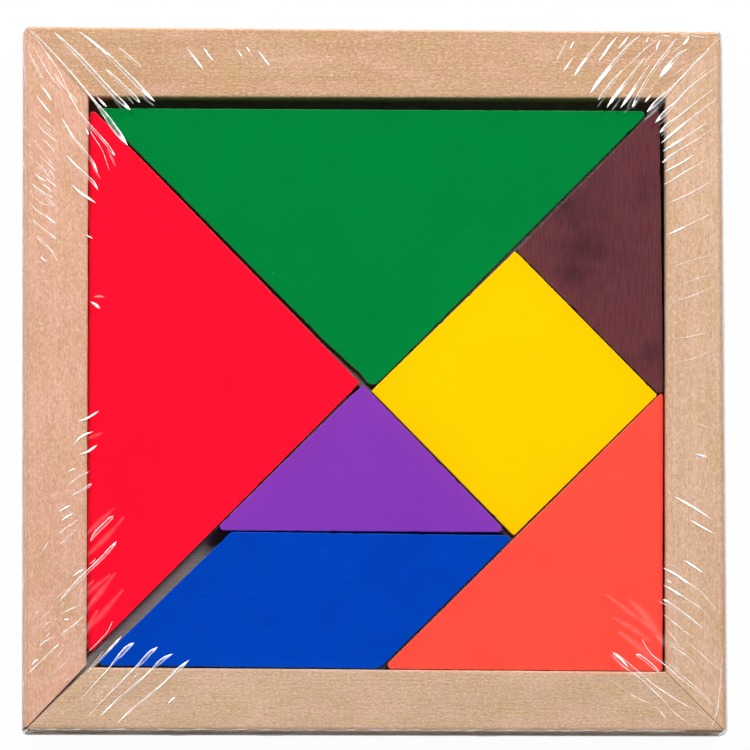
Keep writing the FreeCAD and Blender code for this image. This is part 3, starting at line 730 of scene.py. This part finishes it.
    ("solid", 0.4, 69.1, 48.9, 65.8, 46.8, 62.5, 45),
    ("line", 0.38, 71.8, 47.8, 67, 45.1, 64.1, 43.2, 62.2, 42.2),
    ("line", 0.42, 72.2, 42.8, 67.8, 40.3, 62.6, 37.9),
    ("spear", 0.5, 72.1, 35.8, 67.8, 33.6, 62.9, 31.3),
    ("faint", 0.36, 72.3, 27, 68.9, 26.1, 64.1, 24.5),
    ("faint", 0.36, 73.5, 23.2, 69.5, 22, 64.7, 20.3),
    ("faint", 0.4, 72.5, 20.2, 68.9, 18.5, 64, 16.8),
    ("faint", 0.36, 71.8, 10.5, 68.2, 9.5, 64.6, 8.9),
    ("faint", 0.36, 71.8, 6.4, 69.4, 5, 65.2, 3.9),
    ("line", 0.25, 61.6, 74.4, 62.7, 74.5, 63.9, 74.2),
    ("line", 0.3, 68.2, 74.6, 69.7, 74.3, 71.5, 74.1),
    ("solid", 0.43, 68.8, -15.8, 69.9, -16.2, 71, -16.5),
    ("faint", 0.5, 67.9, -9, 71.7, -10.2),
    ("haze", 2.2, 64.7, 69.5, 60.3, 63.7, 53.8, 57.7),
    ("haze", 2.2, 62.2, 60.7, 60.2, 58.7, 58.7, 57),
    # painted reflections of creases, seen again in the tray below
    ("echo", 0.9, -56.9, 61.9, -55.4, 59.7, -54.2, 58),
    ("echo", 0.7, -53, 60.7, -51.5, 58.9),
    ("echo", 0.9, -50.3, 61.7, -48.6, 59.7, -47.1, 58.5),
    ("echo", 0.8, -60.6, 47.2, -59.8, 44.8, -58.6, 42.8),
    ("echo", 0.8, -57.1, 49, -56.2, 47.3, -55.4, 45.5),
    ("echo", 0.6, 49.9, 61.4, 49, 60.2, 48.1, 59),
    ("echo", 0.7, 53.1, 60.9, 52.1, 59.4, 51.1, 58.2),
    ("echo", 0.6, 55.8, 61.2, 55, 59.8, 54.5, 58.8),
    ("echo", 0.6, 57.3, 61.2, 56.5, 60, 55.8, 58.7),
    ("echo", 0.9, 61.2, 59, 60, 57.7, 58.2, 56.2),
    ("echo", 0.6, 62.8, 56.5, 62.1, 55.8, 61.3, 55.1),
    ("echo", 0.6, 63, 54, 62.3, 53.3, 61.7, 52.8),
    # edge of a spare flap
    ("faint", 0.3, 74.6, -56, 73.9, -60.9, 73.5, -65.8, 72.9, -70.5),
    ("line", 0.3, 73.6, -65.6, 72.9, -70.5, 72.3, -72.7, 71.2, -75.2),
]
CREASE_STEP = 0.6
chance = random.Random(5)


def mirrored(half):
    """A whole section from its left half."""
    return half + [(-across, *rest) for across, *rest in reversed(half)]


# Across a crease: how far from its middle line, how high, how bright its painted highlight, and
# filled
LOOP = mirrored([(-1.0, 0.0, 0.0, 0.0), (-0.86, 0.4, 1.0, 1.0), (-0.64, 0.8, 0.5, 1.0),
                 (-0.42, 1.0, 0.07, 1.0)])
SOFT = mirrored([(-1.0, 0.0, 0.0, 0.0), (-0.75, 0.2, 0.18, 0.18), (-0.45, 0.6, 0.6, 0.6),
                 (-0.15, 1.0, 1.0, 1.0)])
SOLID = mirrored([(-1.0, 0.0, 0.0, 0.0), (-0.7, 0.5, 0.9, 0.9), (-0.2, 1.0, 1.0, 1.0)])


def swell(start, end):
    """A run that is filled, and widest at its middle."""
    return [(0, start, 1), (0.5, 1, 1), (1, end, 1)]


# Each kind: its section, how bright its painted highlight is and how high it stands, then its run
# from the outer end: how far along, its width, and how far it is filled
KINDS = {
    "loop": (LOOP, 1.0, 0.09, [
        (0, 0.1, 1), (0.1, 0.7, 0.3), (0.3, 0.95, 0), (0.9, 0.95, 0),
        (0.96, 0.7, 1), (1, 0, 1)]),
    "eye": (LOOP, 1.0, 0.09, [
        (0, 0.10, 0.5), (0.35, 0.2, 0.7), (0.55, 0.26, 0.9),
        (0.66, 0.42, 0.3), (0.8, 1, 0), (0.91, 0.95, 0.1),
        (0.96, 0.65, 1), (1, 0.05, 1)]),
    "pair": (LOOP, 1.0, 0.09, [
        (0, 0.15, 1), (0.12, 0.5, 0.9), (0.25, 0.62, 0), (0.5, 0.6, 0.1),
        (0.66, 0.36, 1), (0.74, 0.5, 0.3), (0.85, 1, 0),
        (0.93, 0.8, 0.6), (1, 0.05, 1)]),
    "split": (LOOP, 1.0, 0.09, [
        (0, 0.1, 1), (0.12, 0.5, 1), (0.27, 0.62, 1), (0.4, 0.8, 0),
        (0.8, 1, 0), (0.93, 0.7, 1), (1, 0.05, 1)]),
    "spear": (LOOP, 1.0, 0.09, [
        (0, 0.12, 0.8), (0.15, 0.5, 0.1), (0.5, 0.75, 0),
        (0.66, 0.85, 1), (0.85, 0.8, 1), (1, 0.05, 1)]),
    "solid": (SOLID, 1.0, 0.09, [(0, 0.1, 1), (0.3, 0.85, 1), (0.75, 1, 1), (1, 0.1, 1)]),
    "line": (SOLID, 0.74, 0.09, [(0, 0.15, 0.6), (0.5, 0.66, 1), (1, 0.2, 0.8)]),
    "faint": (SOLID, 0.24, 0.06, swell(0.2, 0.2)),
    # haze is a faint painted sheen, echo painted reflections of creases in the tray, bend and brim
    # painted highlights at the rim
    "haze": (SOFT, 0.045, 0.05, swell(0.5, 0.3)),
    "echo": (SOFT, 0.16, 0.05, swell(0.4, 0.4)),
    "bend": (SOFT, 0.34, 0.06, swell(0.6, 0.6)),
    "brim": (SOFT, 0.07, 0.06, swell(0.6, 0.6)),
    "ripple": (SOLID, 0.5, 0.22, [(0, 0.1, 1), (0.3, 0.9, 1), (0.7, 0.8, 1), (1, 0.1, 1)]),
}


def smooth_path(path, step):
    """Points at an even step on a smooth curve through the given ones."""
    points = [Vector(spot) for spot in path]
    ends = [points[0] * 2 - points[1]] + points + [points[-1] * 2 - points[-2]]
    curve = []
    for a, b, c, d in zip(ends, ends[1:], ends[2:], ends[3:]):
        pieces = max(2, round((c - b).length / step))
        for piece in range(pieces):
            t = piece / pieces
            curve.append(0.5 * (2 * b + (c - a) * t + (2 * a - 5 * b + 4 * c - d) * t * t
                                + (3 * b - a - 3 * c + d) * t ** 3))
    return curve + [points[-1]]


def along_profile(profile, share):
    """The width and the fill of a crease at a share of its run."""
    for (start, *low), (end, *high) in zip(profile, profile[1:]):
        if share <= end:
            part = (share - start) / (end - start)
            return [a + (b - a) * part for a, b in zip(low, high)]
    return profile[-1][1:]


def add_crease(kind, width, path, surface, vertices, faces, painted_glint):
    """One ridge along a path on a surface, which gives a place and a direction for each spot."""
    section, strength, height, profile = KINDS[kind]
    curve = smooth_path(path, CREASE_STEP)
    first = len(vertices)
    for number, spot in enumerate(curve):
        share = number / (len(curve) - 1)
        run = curve[min(number + 1, len(curve) - 1)] - curve[max(number - 1, 0)]
        side = Vector((-run.y, run.x)).normalized()
        breadth, filled = along_profile(profile, share)
        half = width / 2 * breadth
        # The painted highlight: brighter and duller along its run, and brightest at its inner end
        glint = strength * (0.88 + 0.65 * noise.noise(Vector((spot.x, spot.y, width)) * 0.9))
        glint *= 0.78 + 0.3 * share
        for across, lift, light, light_filled in section:
            place, outward = surface(spot + side * (across * half))
            vertices.append(place + outward * (lift * height * min(1.0, half * 3)))
            # Painted light: a flank turned towards +Y, where the lamps stand, is a little brighter
            facing = 0.86 + 0.18 * across * side.y if section is LOOP else 1.0
            painted_glint.append(min(1.0, glint * facing * (light + (light_filled - light) * filled)))
    count = len(section)
    for step in range(len(curve) - 1):
        for k in range(count - 1):
            corner = first + step * count + k
            faces.append((corner, corner + count, corner + count + 1, corner + 1))


def film_top(spot):
    """The film's top as a surface for creases, bent down at its rim."""
    inset = min(spot.x - FILM_LEFT, FILM_RIGHT - spot.x, spot.y - FILM_LOW, FILM_HIGH - spot.y)
    drop = 1.1 * max(0.0, 0.5 - inset) ** 2
    height = FILM_HEIGHT + film_wave(spot.x, spot.y) - drop
    return Vector((spot.x, spot.y, height)), Vector((0, 0, 1))


def film_side(side):
    """One of the film's four sides as a surface: how far along it, and how high up."""
    if side in ("left", "right"):
        x, out = (FILM_LEFT, -1) if side == "left" else (FILM_RIGHT, 1)
        return lambda spot: (Vector((x, spot.x, spot.y)), Vector((out, 0, 0)))
    y, out = (FILM_LOW, -1) if side == "low" else (FILM_HIGH, 1)
    return lambda spot: (Vector((spot.x, y, spot.y)), Vector((0, out, 0)))


def film_underside(spot):
    """The film's underside, whose creases are pressed up into it by the table."""
    return Vector((spot.x, spot.y, 0.0)), Vector((0, 0, 1))


def make_crease_material():
    """Creased film: a painted highlight, white where it would flash and clear between."""
    material, tree, output = new_material("film_crease_painted_glint")
    shader = put(tree, "BsdfPrincipled",
                 {"Base Color": (1, 1, 1), "Roughness": 0.25,
                  "Alpha": stored(tree, "painted_glint", "Fac")})
    tree.links.new(shader.outputs[0], output.inputs[0])
    return material


# Small creases side by side: how many, the box that they start in, their bearing and spread in
# degrees, their longest and the widest of them
THICKETS = [
    ("line", 8, (-73, 40), (-70, 58), -48, 16, 3.4, 0.22),
    ("line", 8, (-74.5, 32), (-73.2, 56), -60, 40, 1.6, 0.20),
    ("faint", 10, (-73, 26), (-70, 58), -44, 16, 4.4, 0.50),
    ("faint", 8, (-72, -66), (-66, -46), 42, 14, 4.4, 0.40),
    ("line", 5, (-73.5, -58), (-70, -50), 45, 30, 1.4, 0.20),
    ("faint", 8, (60, 66), (73, 74), -140, 16, 5.5, 0.40),
    ("line", 6, (60, 74.2), (73, 74.9), -178, 8, 2, 0.22),
    ("faint", 6, (63.5, -66), (72, -40), 150, 14, 5, 0.36),
    ("haze", 9, (-73, -72), (-61, -44), 50, 6, 15, 2.4),
    ("haze", 6, (-73, 40), (-66, 70), -52, 8, 12, 2),
    ("haze", 5, (62, 58), (73, 73), -134, 8, 9, 1.8),
    ("haze", 6, (58, -73), (73, -50), 140, 8, 13, 2.6),
]
# The film's sides are drawn in above and below the seam in long ripples and short nicks, painted
# white where they would flash
RIPPLES = [("ripple", 20, 8.0, 0.5), ("line", 16, 9.0, 0.30), ("faint", 26, 12.0, 0.90)]
RIPPLE_LEVELS = (1.0, 2.2, 3.4, 6.6, 7.8, 8.8)
RIPPLE_START, RIPPLE_RUN = -71.0, 132.0


def add_thicket(kind, count, low, high, bearing, spread, longest, widest, surface, *mesh):
    """Small creases strewn over a box, all much the same way."""
    for number in range(count):
        share = (number + chance.random()) / count
        x = low[0] + (high[0] - low[0]) * chance.random()
        y = low[1] + (high[1] - low[1]) * share
        turn = math.radians(bearing + spread * (chance.random() - 0.5))
        bend = 0.25 * (chance.random() - 0.5)
        length = longest * (0.45 + 0.55 * chance.random())
        path = [(x + length * step * math.cos(turn + bend * step),
                 y + length * step * math.sin(turn + bend * step)) for step in (0, 0.5, 1)]
        add_crease(kind, widest * (0.6 + 0.4 * chance.random()), path, surface, *mesh)


def add_ripples(kind, count, longest, widest, surface, *mesh):
    """Wavering creases that run along one side of the film, clear of its seam."""
    for number in range(count):
        start = RIPPLE_START + (number + chance.random()) * RIPPLE_RUN / count
        length = longest * (0.4 + 0.6 * chance.random())
        level = chance.choice(RIPPLE_LEVELS)
        path = [(start + length * share, level + 0.8 * (chance.random() - 0.5))
                for share in (0, 0.25, 0.5, 0.75, 1)]
        add_crease(kind, widest * (0.6 + 0.4 * chance.random()), path, surface, *mesh)


def add_rim(*mesh):
    """Painted highlights on the film where it bends over the rim of the tray, in uneven lengths."""
    left, right, low, high = FILM_LEFT + 0.3, FILM_RIGHT - 0.3, FILM_LOW + 0.3, FILM_HIGH - 0.3
    for kind, start, end in (("bend", (left, low), (right, low)),
                             ("brim", (right, low), (right, high)),
                             ("brim", (right, high), (left, high)),
                             ("brim", (left, high), (left, low))):
        start, end = Vector(start), Vector(end)
        run = (end - start).normalized()
        spot = start + run * 1.0
        while (end - spot).length > 12.0:
            length = 5.0 + 7.0 * chance.random()
            inner = Vector((-run.y, run.x)) * 0.25 * chance.random()
            path = [spot + inner, spot + run * length / 2, spot + run * length + inner]
            add_crease(kind, 0.45 + 0.3 * chance.random(), path, film_top, *mesh)
            spot += run * length * 0.8


def make_creases():
    """The traced creases, then the strewn ones: corners, sides, rim and underside."""
    mesh = vertices, faces, painted_glint = [], [], []
    for kind, width, *path in CREASES:
        add_crease(kind, width, list(zip(path[::2], path[1::2])), film_top, *mesh)
    for thicket in THICKETS:
        add_thicket(*thicket, film_top, *mesh)
    for side in ("low", "high", "left", "right"):
        for ripple in RIPPLES:
            add_ripples(*ripple, film_side(side), *mesh)
    add_rim(*mesh)
    for x, y, bearing in ((-50, -50, 45), (-50, 50, -45), (50, 50, -135), (50, -50, 135)):
        low, high = (x - 14, y - 14), (x + 14, y + 14)
        add_thicket("line", 9, low, high, bearing, 24, 22.0, 0.5, film_underside, *mesh)
        add_thicket("faint", 9, low, high, bearing, 30, 26.0, 0.9, film_underside, *mesh)
    creases = new_piece("film_creases", vertices, faces, make_crease_material())
    store_values(creases.data, "painted_glint", painted_glint)


make_creases()


# Stage. A pale floor and backdrop that look white to the camera, two tall softboxes past the
# top corners, kept out of the film's gloss, and a weak grey sky, darkest overhead. Under the
# tray the floor lets light up, and from below it is clear, to show the tray's underside.

def make_floor():
    """Lit from above as matte white, but to the camera as plain white away from the tray."""
    half = 3.0
    mesh = bpy.data.meshes.new("floor")
    mesh.from_pydata([(-half, -half, 0), (half, -half, 0), (half, half, 0), (-half, half, 0)], [],
                     [(0, 1, 2, 3)])
    material, tree, output = new_material("floor_white")
    matte = put(tree, "BsdfDiffuse", {"Color": (0.66, 0.66, 0.66)})
    glow = put(tree, "Emission", {"Color": (1, 1, 1), "Strength": 1.0})
    rays = put(tree, "LightPath")
    here = put(tree, "TexCoord").outputs["Object"]
    spot = put(tree, "SeparateXYZ", {0: here}).outputs
    off_middle = calc(tree, "MAXIMUM", calc(tree, "ABSOLUTE", spot[0]),
                      calc(tree, "ABSOLUTE", spot[1]))
    beside = calc(tree, "GREATER_THAN", off_middle, (HALF_X - 0.5) * MM)
    seen = calc(tree, "MULTIPLY", rays.outputs["Is Camera Ray"],
                calc(tree, "MULTIPLY", beside, 0.97))
    above = put(tree, "MixShader", {0: seen, 1: matte.outputs[0], 2: glow.outputs[0]})
    from_below = put(tree, "NewGeometry").outputs["Backfacing"]
    under_tray = calc(tree, "SUBTRACT", calc(tree, "SUBTRACT", 1.0, beside),
                      rays.outputs["Is Camera Ray"])
    clear = put(tree, "BsdfTransparent", {"Color": (1, 1, 1)})
    mixed = put(tree, "MixShader", {0: calc(tree, "MAXIMUM", from_below, under_tray),
                                              1: above.outputs[0], 2: clear.outputs[0]})
    tree.links.new(mixed.outputs[0], output.inputs[0])
    mesh.materials.append(material)
    floor = add_object("floor", mesh)
    floor.location.z = -0.02 * MM


def make_sky():
    """White to the camera; its light is weak, stronger in a gloss near the rim and from below."""
    world = bpy.data.worlds.new("sky")
    world.use_nodes = True
    tree = world.node_tree
    tree.nodes.clear()
    output = put(tree, "OutputWorld")
    direction = put(tree, "TexCoord").outputs["Generated"]
    up = put(tree, "SeparateXYZ", {0: direction}).outputs[2]
    rays = put(tree, "LightPath")
    glossy = calc(tree, "MULTIPLY", rays.outputs["Is Glossy Ray"],
                  ramp(tree, up, 0.6, 0.1, 0.0, 0.7))
    strength = calc(tree, "ADD", ramp(tree, up, 0.35, 0.95, 0.08, 0.02), glossy)
    strength = calc(tree, "ADD", strength, ramp(tree, up, -0.05, -0.3, 0.0, 0.8))
    dim = put(tree, "Background", {"Color": (1, 1, 1), "Strength": strength})
    white = put(tree, "Background", {"Color": (1, 1, 1), "Strength": 1.0})
    seen = rays.outputs["Is Camera Ray"]
    mixed = put(tree, "MixShader", {0: seen, 1: dim.outputs[0], 2: white.outputs[0]})
    tree.links.new(mixed.outputs[0], output.inputs[0])
    bpy.context.scene.world = world


# Angles in degrees, lengths in metres, power in watts
OFF_ZENITH, LAMP_DISTANCE = 52, 2.2
LAMP_HEIGHT, LAMP_POWER = 1.3, 72.5


def add_lamp(name, bearing, width):
    """An upright softbox that faces the tray, at a bearing from +X."""
    lamp = bpy.data.lights.new(name, "AREA")
    lamp.shape = "RECTANGLE"
    lamp.size, lamp.size_y = width, LAMP_HEIGHT
    lamp.energy = LAMP_POWER
    turn, tilt = math.radians(bearing), math.radians(OFF_ZENITH)
    way = Vector((math.sin(tilt) * math.cos(turn), math.sin(tilt) * math.sin(turn), math.cos(tilt)))
    softbox = add_object(name, lamp)
    softbox.matrix_world = Matrix.Translation(way * LAMP_DISTANCE) @ way.to_track_quat(
        "Z", "Y").to_matrix().to_4x4()
    softbox.visible_glossy = False


make_floor()
make_sky()
add_lamp("softbox_left", 135, 0.6)
add_lamp("softbox_right", 51, 0.55)


# Camera. A long lens two metres off, almost straight above, a little to the near left.

CAMERA_PLACE = (-141.05, -236.4, 1981.0)
CAMERA_TILTS = (6.85, -4.08, -0.20)
LENS_IN_IMAGE_WIDTHS = 12.441
SENSOR_WIDTH = 36.0

camera = bpy.data.cameras.new("camera")
camera.sensor_width = SENSOR_WIDTH
camera.lens = SENSOR_WIDTH * LENS_IN_IMAGE_WIDTHS
camera.shift_x, camera.shift_y = -0.002, 0.002
camera.clip_end = 20.0
viewer = add_object("camera", camera)
tilt_x, tilt_y, tilt_z = (math.radians(angle) for angle in CAMERA_TILTS)
turned = (Matrix.Rotation(tilt_z, 4, "Z") @ Matrix.Rotation(tilt_y, 4, "Y")
          @ Matrix.Rotation(tilt_x, 4, "X"))
viewer.matrix_world = Matrix.Translation(Vector(CAMERA_PLACE) * MM) @ turned
bpy.context.scene.camera = viewer
bpy.context.scene.view_settings.view_transform = "Standard"
